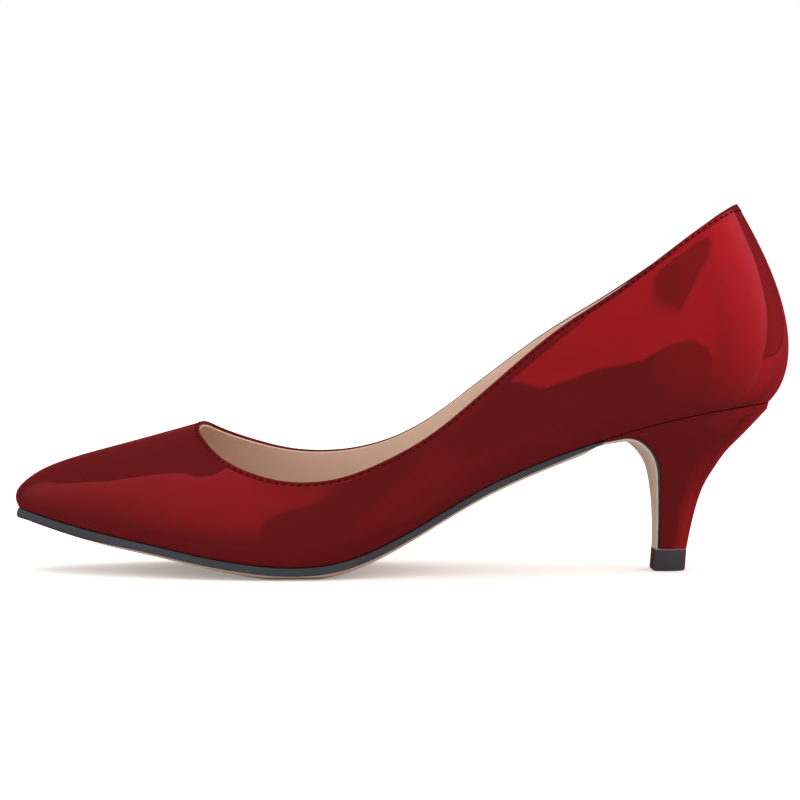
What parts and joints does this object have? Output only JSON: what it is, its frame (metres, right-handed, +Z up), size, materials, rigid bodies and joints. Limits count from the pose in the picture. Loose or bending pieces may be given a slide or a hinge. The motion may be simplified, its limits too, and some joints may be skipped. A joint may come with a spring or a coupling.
{
  "type": "kitten heel pump",
  "caption": "Closed pump with a slim almond-pointed toe, low-cut throat, tall back and a short tapered covered heel, made as a hollow shell over a thin shaped sole.",
  "frame": {"origin": "on the floor, under the middle of the shoe's bounding box", "axes": "+Z up; the toe points to -X and the heel to +X; the outer side of the foot is -Y and the inner side +Y"},
  "size_m": [0.2459, 0.079, 0.1162],
  "materials": {
    "upper_patent": "high-gloss red patent",
    "insole_sock": "matte beige lining leather",
    "sole_unit": "matte beige underside with a dark painted edge",
    "heel_cover": "high-gloss red patent cover",
    "top_piece": "dark satin rubber"
  },
  "bodies": {
    "root": {"upper": "upper_patent", "insole": "insole_sock", "outsole": "sole_unit", "heel": "heel_cover", "top_lift": "top_piece"}
  },
  "joints": []
}
